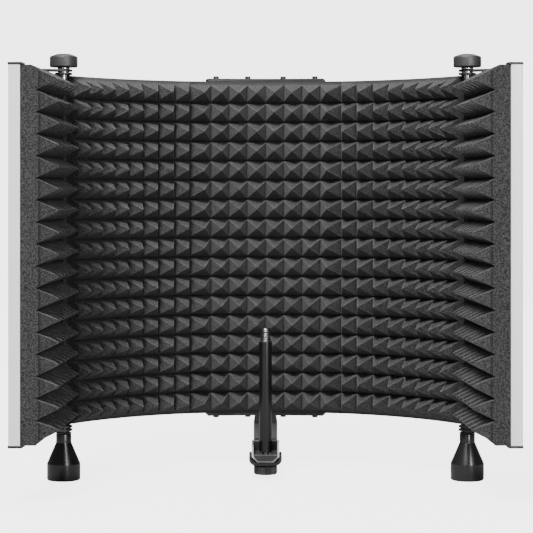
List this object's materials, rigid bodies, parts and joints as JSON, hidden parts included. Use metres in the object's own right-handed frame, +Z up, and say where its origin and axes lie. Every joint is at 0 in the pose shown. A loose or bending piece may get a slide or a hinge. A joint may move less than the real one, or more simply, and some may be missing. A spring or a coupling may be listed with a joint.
{
  "type": "microphone isolation shield",
  "caption": "Folding microphone isolation shield: curved pyramid-foam wall with hinged foam wings, clamp knobs, tabletop feet and a sliding threaded microphone post.",
  "frame": {"origin": "on the table plane under the middle of the bounding box", "axes": "+Z up, -Y towards the singer at the open front, +X to the viewer's right"},
  "size_m": [0.4334, 0.2695, 0.39],
  "materials": {
    "foam": "open-cell acoustic foam, matt charcoal black",
    "shell": "black powder coat, perforated",
    "black_metal": "black satin paint",
    "grey_block": "grey satin paint",
    "fastener_dark": "black zinc",
    "bright_steel": "bright zinc and polished steel",
    "silver_profile": "satin anodised aluminium",
    "black_plastic": "satin black moulded plastic",
    "rubber": "matt black rubber"
  },
  "bodies": {
    "shield": {"foam_center": "foam", "foam_side_left": "foam", "foam_side_right": "foam", "back_plate_center": "shell", "back_plate_side_left": "shell", "back_plate_side_right": "shell", "top_bar": "black_metal", "top_bracket": "black_metal", "bottom_bar": "black_metal", "bottom_bracket": "black_metal", "rail": "black_metal", "hanger_neck": "black_metal", "stand_socket": "black_metal", "seam_strip_left": "black_metal", "seam_strip_right": "black_metal", "side_hinge_bracket_left": "black_metal", "side_hinge_bracket_right": "black_metal", "lock_ring_left": "black_metal", "lock_ring_right": "black_metal", "bracket_screws": "fastener_dark", "seam_rivets_left": "fastener_dark", "seam_rivets_right": "fastener_dark", "hanger_block": "grey_block", "hanger_bolt": "bright_steel", "hinge_rod_left": "bright_steel", "hinge_rod_right": "bright_steel", "hinge_washers_left": "bright_steel", "hinge_washers_right": "bright_steel"},
    "wing_left": {"back_plate_wing_left": "shell", "foam_wing_left": "foam", "wing_hinge_bracket_left": "black_metal", "wing_rivets_left": "fastener_dark", "end_profile_left": "silver_profile", "end_cap_top_left": "black_plastic", "end_cap_bottom_left": "black_plastic"},
    "wing_right": {"back_plate_wing_right": "shell", "foam_wing_right": "foam", "wing_hinge_bracket_right": "black_metal", "wing_rivets_right": "fastener_dark", "end_profile_right": "silver_profile", "end_cap_top_right": "black_plastic", "end_cap_bottom_right": "black_plastic"},
    "knob_left": {"knob_left": "black_plastic", "knob_collar_left": "bright_steel"},
    "knob_right": {"knob_right": "black_plastic", "knob_collar_right": "bright_steel"},
    "foot_left": {"foot_left": "black_plastic", "foot_pad_left": "rubber"},
    "foot_right": {"foot_right": "black_plastic", "foot_pad_right": "rubber"},
    "carriage": {"mic_post": "black_metal", "mic_stud": "bright_steel", "rail_clip": "black_metal", "saddle": "black_metal", "clamp_washer": "fastener_dark"},
    "clamp": {"clamp_knob": "black_plastic", "clamp_stud": "bright_steel"}
  },
  "joints": [
    {"name": "wing_hinge_left", "type": "hinge", "parent": "shield", "child": "wing_left", "pos_m": [-0.1846, 0.00568, 0.2102], "axis": [0, 0, -1], "range_deg": [-25, 40]},
    {"name": "knob_turn_left", "type": "hinge", "parent": "shield", "child": "knob_left", "pos_m": [-0.1846, 0.00568, 0.3838], "axis": [0, 0, 1], "range_deg": [0, 360]},
    {"name": "foot_turn_left", "type": "hinge", "parent": "shield", "child": "foot_left", "pos_m": [-0.1846, 0.00568, 0.018], "axis": [0, 0, 1], "range_deg": [-180, 180]},
    {"name": "wing_hinge_right", "type": "hinge", "parent": "shield", "child": "wing_right", "pos_m": [0.1846, 0.00568, 0.2102], "axis": [0, 0, 1], "range_deg": [-25, 40]},
    {"name": "knob_turn_right", "type": "hinge", "parent": "shield", "child": "knob_right", "pos_m": [0.1846, 0.00568, 0.3838], "axis": [0, 0, 1], "range_deg": [0, 360]},
    {"name": "foot_turn_right", "type": "hinge", "parent": "shield", "child": "foot_right", "pos_m": [0.1846, 0.00568, 0.018], "axis": [0, 0, 1], "range_deg": [-180, 180]},
    {"name": "carriage_slide", "type": "slide", "parent": "shield", "child": "carriage", "axis": [0, -1, 0], "range_m": [-0.055, 0.008]},
    {"name": "clamp_turn", "type": "hinge", "parent": "carriage", "child": "clamp", "pos_m": [0, 0.01468, 0.009], "axis": [0, 0, -1], "range_deg": [0, 360]}
  ]
}
